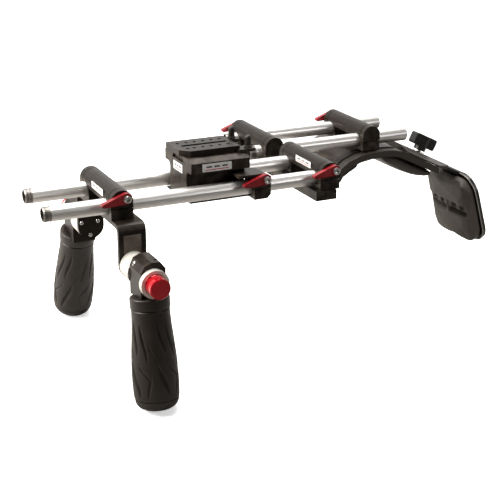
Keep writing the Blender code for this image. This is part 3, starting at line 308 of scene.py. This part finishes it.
def dress_frame():
    """Gives every CAD node its procedural material, and all but the springs a small edge bevel."""
    for entry in frame["record"]["subparts"]:
        node = NODES[entry["node"]]
        shade = REAR_RODS if entry["node"].startswith("rear_rod") else SLOTS[entry["material_slot"]]
        for slot in node.material_slots:
            slot.material = shade
        if not node.material_slots:
            node.data.materials.append(shade)
        if entry["node"].endswith("_button_spring"):
            continue
        low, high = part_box(entry["node"])
        least = min(h - l for h, l in zip(high, low))
        bevel = node.modifiers.new("edge_bevel", "BEVEL")
        width, bevel.segments = SOFT_EDGES.get(entry["node"], FINE_EDGE)
        bevel.width = min(width, least * EDGE_SHARE)
        bevel.limit_method = "ANGLE"
        bevel.angle_limit = math.radians(40)
        bevel.harden_normals = True


# --- shapes ----------------------------------------------------------------------------------

def piece(name, bm, shade, body, smooth=35):
    mesh = bpy.data.meshes.new(name)
    bmesh.ops.recalc_face_normals(bm, faces=bm.faces)
    bm.to_mesh(mesh)
    bm.free()
    made = bpy.data.objects.new(name, mesh)
    bpy.context.collection.objects.link(made)
    mesh.materials.append(shade)
    mesh.shade_smooth()
    if smooth:
        mesh.set_sharp_from_angle(angle=math.radians(smooth))
    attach(made, body)
    return made


def loft(rings, closed=False):
    """A surface through rings of points, capped at its two ends or closed back on its start."""
    bm = bmesh.new()
    rows = [[bm.verts.new(point) for point in ring] for ring in rings]
    count = len(rings[0])
    following = rows[1:] + rows[:1] if closed else rows[1:]
    for first, second in zip(rows, following):
        for k in range(count):
            m = (k + 1) % count
            bm.faces.new((first[k], first[m], second[m], second[k]))
    if not closed:
        bm.faces.new(rows[0][::-1])
        bm.faces.new(rows[-1])
    return bm


def facing(place, normal):
    """A frame at the place with +Z along the normal and +Y as near up as it can be."""
    z = Vector(normal).normalized()
    x = Vector((0, 0, 1)).cross(z).normalized()
    y = z.cross(x)
    return Matrix.Translation(place) @ Matrix((x, y, z)).transposed().to_4x4()


def rounded_rectangle(width, height, radius, steps=6):
    outline = []
    for cx, cy, start in ((1, 1, 0), (-1, 1, 90), (-1, -1, 180), (1, -1, 270)):
        centre = (cx * (width / 2 - radius), cy * (height / 2 - radius))
        for k in range(steps + 1):
            turn = math.radians(start + 90 * k / steps)
            outline.append((centre[0] + radius * math.cos(turn), centre[1] + radius * math.sin(turn)))
    return outline


def plate(outline, matrix, low, high, edge=0.0001):
    """A thin plate with a small chamfer round its outer face."""
    def ring(height, inset):
        points = []
        for x, y in outline:
            length = math.hypot(x, y)
            share = (length - inset) / length
            points.append(matrix @ Vector((x * share, y * share, height)))
        return points
    return loft([ring(low, 0.0), ring(high - edge, 0.0), ring(high, edge)])


# --- moulded grips ---------------------------------------------------------------------------

# Each grip hangs from its place and leans outwards by its splay, in degrees.  Lengths are in mm,
# and GRIP_AROUND is the number of points in a ring.
GRIP_PLACES = {1: ((102, 75, -65.7), 8), -1: ((103.5, 75, -68.3), 18)}
GRIP_END = 96
GRIP_EDGE = 94.5
COLLAR = 11
GRIP_RADIUS = 20
GRIP_AROUND = 192
GRIP_ROW = 0.62
TONGUE_BORE = 9.4


def grip_radius(depth):
    share = (depth - COLLAR) / (GRIP_END - COLLAR)
    swell = math.sin(math.pi * min(max(share, 0.0) / 1.55, 1.0)) ** 2
    return 17.9 + 3.9 * swell


# Leaf-shaped hollows: (angle, first depth, last depth, lean over the length, half width, depth)
LEAVES = []
for turn in range(5):
    around = 72 * turn + (0, 5, -4, 3, -6)[turn]
    LEAVES += [
        (around + 4, 20, 53, 8, 3.3, 1.9),
        (around + 31, 21, 58, 10, 2.8, 1.8),
        (around + 52, 40, 56, 7, 1.6, 1.0),
        (around + 2, 58, 92, 13, 4.4, 2.4),
        (around + 30, 60, 76, 14, 2.2, 1.3),
        (around + 43, 70, 92, -5, 2.4, 1.5),
    ]


def leaf_depth(turn, depth):
    """How far the leaf pattern sinks the surface, in mm.  One side of each leaf is steeper."""
    sunk = np.zeros_like(turn)
    for around, first, last, lean, half, deep in LEAVES:
        share = (depth - first) / (last - first)
        if not 0 < share < 1:
            continue
        middle = around + lean * math.sin(math.pi * (share - 0.5))
        off = np.radians((turn - middle + 180) % 360 - 180) * GRIP_RADIUS
        width = half * math.sin(math.pi * share) ** 0.8 + 0.01
        steep = np.where(off > 0, np.clip(1 - off / (width * 0.45), 0, 1), np.clip(1 + off / width, 0, 1))
        steep = steep * steep * (3 - 2 * steep)
        sunk = np.maximum(sunk, deep * steep * math.sin(math.pi * share) ** 0.5)
    return sunk


def grip(label, side):
    """The sleeve over the handle's tongue: collar, groove and a palm swell with leaf hollows."""
    count = GRIP_AROUND
    top, splay = GRIP_PLACES[side]
    flip = Matrix.Scale(side, 4, (1, 0, 0))
    place = flip @ Matrix.Translation(at(*top)) @ Matrix.Rotation(math.radians(-splay), 4, "Y")
    turn = np.arange(count) * 360.0 / count
    rows = [(TONGUE_BORE, 0.0), (17.4, 0.0), (18.1, 0.25), (18.45, 0.9), (18.5, 2.0), (18.5, 9.6),
            (18.35, 10.1), (17.9, 10.35), (17.2, 10.6), (17.1, 11.0), (17.2, 11.4), (17.75, 11.7),
            (17.95, 12.2)]
    rings = [(np.full(count, radius), depth) for radius, depth in rows]
    for depth in [*np.arange(13.0, GRIP_EDGE, GRIP_ROW), 95.0, 95.5, 95.9]:
        wave = 0.14 * math.sin((depth - 20) * 0.09)
        edge = 0.1 + max(0.0, depth - GRIP_EDGE) * 0.45
        rings.append((grip_radius(depth) + wave - edge - leaf_depth(turn, depth), depth))
    rings.append((np.full(count, TONGUE_BORE), GRIP_END - 0.05))
    shape = []
    for radii, depth in rings:
        ring = []
        for radius, angle in zip(radii * MM, np.radians(turn)):
            ring.append(place @ Vector((radius * math.cos(angle), radius * math.sin(angle), -depth * MM)))
        shape.append(ring)
    sleeve = piece(f"{label}_grip_moulded", loft(shape, closed=True), GRIP, f"{label}_handle",
                   0)
    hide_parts(f"{label}_grip_sleeve")


# --- soft pads -------------------------------------------------------------------------------

CLOTH_FRAMES = 20


def puffed(name, node, body, voxel, shrink, cap, shape_after=None, smoothing=6):
    """A foam pad: the CAD solid remeshed, smoothed, inflated a little as cloth and subdivided."""
    source = NODES[node]
    mesh = source.data.copy()
    made = bpy.data.objects.new(name, mesh)
    bpy.context.collection.objects.link(made)
    low, high = (Vector(corner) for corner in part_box(node))
    middle = (low + high) / 2
    size = high - low
    factor = Vector([(s - 2 * shrink) / s for s in size])
    for vertex in mesh.vertices:
        offset = vertex.co - middle
        vertex.co = middle + Vector([o * f for o, f in zip(offset, factor)])
    remesh = made.modifiers.new("remesh", "REMESH")
    remesh.mode = "VOXEL"
    remesh.voxel_size = voxel
    smooth = made.modifiers.new("smooth", "SMOOTH")
    smooth.iterations = smoothing
    smooth.factor = 0.5
    apply_all(made)
    start = np.array([vertex.co[:] for vertex in made.data.vertices])
    cloth = made.modifiers.new("cloth", "CLOTH")
    settings = cloth.settings
    settings.use_pressure = True
    settings.uniform_pressure_force = 4.0
    settings.effector_weights.gravity = 0.0
    settings.quality = 5
    settings.mass = 0.3
    cloth.collision_settings.use_collision = False
    scene = bpy.context.scene
    for number in range(1, CLOTH_FRAMES + 1):
        scene.frame_set(number)
    apply_all(made)
    scene.frame_set(1)
    ended = np.array([vertex.co[:] for vertex in made.data.vertices])
    step = ended - start
    length = np.linalg.norm(step, axis=1, keepdims=True)
    step = step * np.minimum(1.0, cap / np.maximum(length, 1e-9))
    final = start + step
    if shape_after is not None:
        final = shape_after(final)
    for vertex, place in zip(made.data.vertices, final):
        vertex.co = place
    subdivide = made.modifiers.new("subdivide", "SUBSURF")
    subdivide.levels = 1
    subdivide.render_levels = 1
    apply_all(made)
    made.data.materials.clear()
    made.data.materials.append(FOAM)
    made.data.shade_smooth()
    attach(made, body)
    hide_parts(node)


def apply_all(made):
    """Bakes the object's modifiers into its mesh."""
    graph = bpy.context.evaluated_depsgraph_get()
    graph.update()
    baked = bpy.data.meshes.new_from_object(made.evaluated_get(graph), depsgraph=graph)
    made.modifiers.clear()
    made.data = baked


# The back pad in its own frame, in mm: x across it, y from the front face inwards, z up the slope.
BACK_CORNER = at(-122, 568, -69)
BACK_TILT = math.radians(17)
BACK_FRAME = Matrix.Translation(BACK_CORNER) @ Matrix.Rotation(BACK_TILT, 4, "X")
PAD_HALF, PAD_LOW, PAD_HIGH = 44, -87, 3
PAD_ROUNDING = 10
SEAM_WIDTH, SEAM_HEIGHT, SEAM_CORNER = 88.6, 90.6, 22.3
SEAM_DEPTH, SEAM_MIDDLE = -4.75, -42
CORD_RADIUS = 0.55
POCKET_HEIGHT = -38.5


def back_pad_relief(points):
    """The front of the back pad: a rounded edge, and a pocket with two strap slots across it."""
    inverse = np.array(BACK_FRAME.inverted())
    matrix = np.array(BACK_FRAME)
    local = points @ inverse[:3, :3].T + inverse[:3, 3]
    x, y, z = local[:, 0] / MM, local[:, 1] / MM, local[:, 2] / MM
    front = np.clip((-8 - y) / 6, 0, 1)

    def step(value):
        value = np.clip(value, 0, 1)
        return value * value * (3 - 2 * value)

    # The front edge is rounded over.
    from_edge = np.minimum(PAD_HALF - np.abs(x), np.minimum(z - PAD_LOW, PAD_HIGH - z))
    corner = PAD_ROUNDING - np.minimum(PAD_ROUNDING, from_edge)
    sink = 0.066 * corner ** 2

    def dip(value, middle, half, soft):
        return step((half - np.abs(value - middle)) / soft)

    # The pocket crosses the face.  Each slot lies low in it, with its buckle above.
    slope = z - POCKET_HEIGHT
    sink = sink + 1.8 * dip(slope, 0, 9.5, 2.2) * dip(x, 0, 38, 2.0) * (1 - dip(x, 0.5, 2.4, 1.2))
    for middle in (-19, 20):
        sink = sink + 7.0 * dip(x, middle, 15.5, 1.0) * dip(slope, -4.0, 3.2, 0.9)
        upper = dip(slope, 3.4, 3.0, 0.8)
        sink = sink + 5.0 * upper * (dip(x, middle - 6, 4.5, 0.9) + dip(x, middle + 9, 3.0, 0.9))
    local[:, 1] += sink * front * MM
    return local @ matrix[:3, :3].T + matrix[:3, 3]


def pads():
    puffed("front_pad_soft", "front_cushion", "saddle", voxel=0.0022, shrink=0.0006, cap=0.0016)
    puffed("rear_pad_soft", "rear_cushion", "saddle", voxel=0.0022, shrink=0.0008, cap=0.002)
    puffed("back_pad_soft", "back_cushion", "back_pad", voxel=0.0017, shrink=0.001, cap=0.0026,
           shape_after=back_pad_relief, smoothing=16)


# --- labels and screws -----------------------------------------------------------------------

# Places in the rod frame and sizes, in mm.
FORWARD, LEFT = (0, -1, 0), (1, 0, 0)
LABEL_LIFT = 0.05
CLAMP_LABEL = (32, 6.5)
LEG_RECESS, LEG_INNER_FACE = 61.4, 57.95
INSET_MIDDLE, INSET_SIDE = (75, -29), 17.4
BARREL_SCREWS = ((64.9, -44.8), (82.2, -44.8), (73.8, -58.6))
HUB_SCREW = (90, 65.3, -37.0)
HUB_BEVEL = (0, -0.894, 0.447)


def plain(name, low, high, rough):
    """Vinyl, ink or cord: slight mottling and a soft gloss."""
    shade = Shade(name)
    shade.link(shade.ramp(shade.noise(220, 4), [(0.3, low), (0.7, high)]), shade.main.inputs["Base Color"])
    shade.link(shade.ramp(shade.noise(400, 3), [(0.3, rough - 0.05), (0.8, rough + 0.05)]),
               shade.main.inputs["Roughness"])
    shade.bumps((shade.noise(900, 2), 0.06, 0.0002))
    return shade.material


CORD = plain("seam_cord", (0.3, 0.28, 0.25), (0.42, 0.4, 0.36), 0.5)
INSET = anodised("bare_inset", (0.085, 0.067, 0.055), (0.13, 0.105, 0.088), (0.2, 0.17, 0.15), 0.5)
LABEL = plain("label_vinyl", (0.78, 0.77, 0.75), (0.86, 0.85, 0.83), 0.4)
INK_RED = plain("label_ink_red", (0.5, 0.02, 0.03), (0.62, 0.04, 0.05), 0.4)
INK_DARK = plain("label_ink_dark", (0.05, 0.045, 0.045), (0.09, 0.085, 0.08), 0.4)


def label(name, body, place, normal, width, height):
    """A white label with a generic mark: one red stripe below a row of plain dashes."""
    spot = facing(place, normal)
    outline = rounded_rectangle(width * MM, height * MM, 0.7 * MM)
    piece(f"{name}_label", plate(outline, spot, 0.00003, 0.00025), LABEL, body)
    stripe = rounded_rectangle(width * 0.8 * MM, height * 0.1 * MM, height * 0.04 * MM, 3)
    low = spot @ Matrix.Translation((0, -height * 0.26 * MM, 0))
    piece(f"{name}_label_stripe", plate(stripe, low, 0.0002, 0.00031, 0.00003), INK_RED, body)
    for number in range(3):
        dash = rounded_rectangle(width * 0.2 * MM, height * 0.2 * MM, height * 0.09 * MM, 3)
        shift = spot @ Matrix.Translation(((number - 1) * width * 0.27 * MM, height * 0.1 * MM, 0))
        piece(f"{name}_label_dash_{number}", plate(dash, shift, 0.0002, 0.00031, 0.00003), INK_DARK, body)


def button_head(name, body, place, normal, radius, height):
    """A domed screw head with a hexagon socket."""
    spot = facing(place, normal)
    profile = [(radius, -0.0002), (radius, height * 0.35), (radius * 0.94, height * 0.66),
               (radius * 0.78, height * 0.9), (radius * 0.56, height)]
    count = 24
    rings = []
    for r, h in profile:
        angles = [2 * math.pi * k / count for k in range(count)]
        rings.append([spot @ Vector((r * math.cos(a), r * math.sin(a), h)) for a in angles])
    for h in (height, height * 0.25):
        ring = []
        for k in range(count):
            angle = 2 * math.pi * k / count
            hexagon = math.cos(math.pi / 6) / math.cos((angle % (math.pi / 3)) - math.pi / 6)
            r = radius * 0.5 * hexagon
            ring.append(spot @ Vector((r * math.cos(angle), r * math.sin(angle), h)))
        rings.append(ring)
    piece(name, loft(rings), STEEL, body)


def ribbon(name, points, radius, shade, body):
    """A round cord along a closed line of points that lies flat in the back pad's frame."""
    angles = [2 * math.pi * n / 8 for n in range(8)]
    rings = []
    for k in range(len(points)):
        ahead = (points[(k + 1) % len(points)] - points[k - 1]).normalized()
        across = ahead.cross(BACK_FRAME.to_3x3() @ Vector((0, 1, 0))).normalized()
        third = ahead.cross(across)
        rings.append([points[k] + radius * (across * math.cos(a) + third * math.sin(a)) for a in angles])
    piece(name, loft(rings, closed=True), shade, body, 0)


def trim():
    """The pale seam cord round the back pad, and the lighter inset on each bracket leg."""
    outline = rounded_rectangle(SEAM_WIDTH * MM, SEAM_HEIGHT * MM, SEAM_CORNER * MM, 8)
    cord = [BACK_FRAME @ Vector((x, SEAM_DEPTH * MM, y + SEAM_MIDDLE * MM)) for x, y in outline]
    ribbon("back_pad_seam_cord", cord, CORD_RADIUS * MM, CORD, "back_pad")
    for name, side in (("left", 1), ("right", -1)):
        spot = facing(at(side * LEG_RECESS, *INSET_MIDDLE), (side, 0, 0))
        inset = rounded_rectangle(INSET_SIDE * MM, INSET_SIDE * MM, 0.4 * MM, 3)
        piece(f"{name}_leg_inset", plate(inset, spot, 0.00002, 0.0005, 0.0001), INSET, "front_clamp")


def on_front(node, x, z):
    """A place just in front of the node's front face."""
    place = at(x, 0, z)
    place.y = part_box(node)[0][1] - LABEL_LIFT * MM
    return place


def on_left(node, y, z):
    """A place just off the node's left face."""
    place = at(0, y, z)
    place.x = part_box(node)[1][0] + LABEL_LIFT * MM
    return place


def small_parts():
    trim()
    label("front_clamp", "front_clamp", on_front("front_clamp_body", 8, 11), FORWARD, *CLAMP_LABEL)
    label("block_front", "camera_base", on_front("base_block", 0, 20), FORWARD, 22, 8.5)
    label("block_side", "camera_base", on_left("base_block", 174, 25.2), LEFT, 31, 7.8)
    label("offset_clamp", "frame", on_front("front_pair_clamp_body", 8, 11), FORWARD, *CLAMP_LABEL)
    for name, side in (("left", 1), ("right", -1)):
        for number, (y, z) in enumerate(BARREL_SCREWS):
            button_head(f"{name}_barrel_screw_{number}", "front_clamp", at(side * LEG_INNER_FACE, y, z),
                        (-side, 0, 0), 0.0021, 0.0012)
        x, y, z = HUB_SCREW
        button_head(f"{name}_hub_screw", f"{name}_handle", at(side * x, y, z), HUB_BEVEL, 0.0024, 0.0009)


# --- stage -----------------------------------------------------------------------------------

FLOOR_GAP = 0.0006
FLOOR_GLOW = 0.62


def stage():
    low = min(CAD_BOX[0][2], CAD_BOX[1][2]) - FLOOR_GAP
    bm = bmesh.new()
    span = 6.0
    sides = ((-span, -span), (span, -span), (span, span), (-span, span))
    corners = [bm.verts.new((x, y, low)) for x, y in sides]
    bm.faces.new(corners)
    mesh = bpy.data.meshes.new("floor")
    bm.to_mesh(mesh)
    bm.free()
    floor = bpy.data.objects.new("floor", mesh)
    bpy.context.collection.objects.link(floor)
    shade = Shade("floor_paper")
    paper = shade.ramp(shade.noise(3, 3), [(0.3, 0.86), (0.7, 0.88)])
    # The paper bounces less light back to the rig on the viewer's side, like a dark flag laid there.
    seen = shade.add("ShaderNodeLightPath").outputs["Is Camera Ray"]
    place = shade.add("ShaderNodeSeparateXYZ")
    shade.link(shade.coords, place.inputs[0])
    side = shade.math("MULTIPLY_ADD", place.outputs["X"], 1.6, 0.55)
    bounce = shade.ramp(side, [(0.0, (0.62, 0.6, 0.57)), (1.0, (0.1, 0.096, 0.09))])
    shade.link(shade.mix(seen, bounce, paper), shade.main.inputs["Base Color"])
    shade.link(paper, shade.main.inputs["Emission Color"])
    shade.link(shade.math("MULTIPLY", seen, FLOOR_GLOW), shade.main.inputs["Emission Strength"])
    shade.set(Roughness=0.9)
    mesh.materials.append(shade.material)

    # White to the camera.  The rig itself sees a bright sweep behind it and a dark room in front.
    world = bpy.data.worlds.new("studio")
    world.use_nodes = True
    tree = world.node_tree
    coords = tree.nodes.new("ShaderNodeTexCoord")
    toward = tree.nodes.new("ShaderNodeVectorMath")
    toward.operation = "DOT_PRODUCT"
    toward.inputs[1].default_value = Vector((-0.88, 0.22, 0.32)).normalized()
    glow = tree.nodes.new("ShaderNodeValToRGB")
    stops = glow.color_ramp.elements
    stops.new(0.5)
    for stop, (place, value) in zip(stops, ((0.0, 0.04), (0.4, 0.2), (0.9, 1.15))):
        stop.position = place
        stop.color = (value, value * 0.99, value * 0.97, 1.0)
    path = tree.nodes.new("ShaderNodeLightPath")
    choice = tree.nodes.new("ShaderNodeMix")
    choice.data_type = "RGBA"
    choice.inputs[7].default_value = (1.0, 1.0, 1.0, 1.0)
    tree.links.new(coords.outputs["Generated"], toward.inputs[0])
    tree.links.new(toward.outputs["Value"], glow.inputs["Fac"])
    tree.links.new(path.outputs["Is Camera Ray"], choice.inputs[0])
    tree.links.new(glow.outputs["Color"], choice.inputs[6])
    tree.links.new(choice.outputs[2], tree.nodes["Background"].inputs["Color"])
    bpy.context.scene.world = world
    bpy.context.scene.view_settings.view_transform = "Standard"


def area_light(name, place, target, size, power, colour=(1, 1, 1)):
    data = bpy.data.lights.new(name, "AREA")
    data.shape = "RECTANGLE"
    data.size, data.size_y = size
    data.energy = power
    data.color = colour
    made = bpy.data.objects.new(name, data)
    bpy.context.collection.objects.link(made)
    made.location = place
    direction = Vector(target) - Vector(place)
    made.rotation_euler = direction.to_track_quat("-Z", "Y").to_euler()


def lights():
    middle = (-0.05, 0.1, -0.08)
    area_light("key", (-0.35, -1.3, 0.9), middle, (1.1, 0.9), 60, (1.0, 0.965, 0.92))
    area_light("overhead", (-0.2, 0.2, 1.5), middle, (0.9, 1.8), 34, (1.0, 0.98, 0.95))
    area_light("side", (1.3, 0.9, 0.6), middle, (0.3, 0.5), 4)


def camera():
    azimuth, elevation, roll = math.radians(63.85), math.radians(20.35), math.radians(0.46)
    right = Vector((math.cos(azimuth), math.sin(azimuth), 0.0))
    back = Vector((math.sin(azimuth) * math.cos(elevation), -math.cos(azimuth) * math.cos(elevation),
                   math.sin(elevation)))
    up = back.cross(right)
    right, up = (right * math.cos(roll) + up * math.sin(roll), up * math.cos(roll) - right * math.sin(roll))
    data = bpy.data.cameras.new("camera")
    data.lens = 85.33
    data.sensor_width = 36.0
    made = bpy.data.objects.new("camera", data)
    bpy.context.collection.objects.link(made)
    turn = Matrix((right, up, back)).transposed().to_4x4()
    made.matrix_world = Matrix.Translation(at(1031.9, -280.5, 346.9)) @ turn
    bpy.context.scene.camera = made


dress_frame()
for label_name, side in (("left", 1), ("right", -1)):
    grip(label_name, side)
pads()
small_parts()
stage()
lights()
camera()
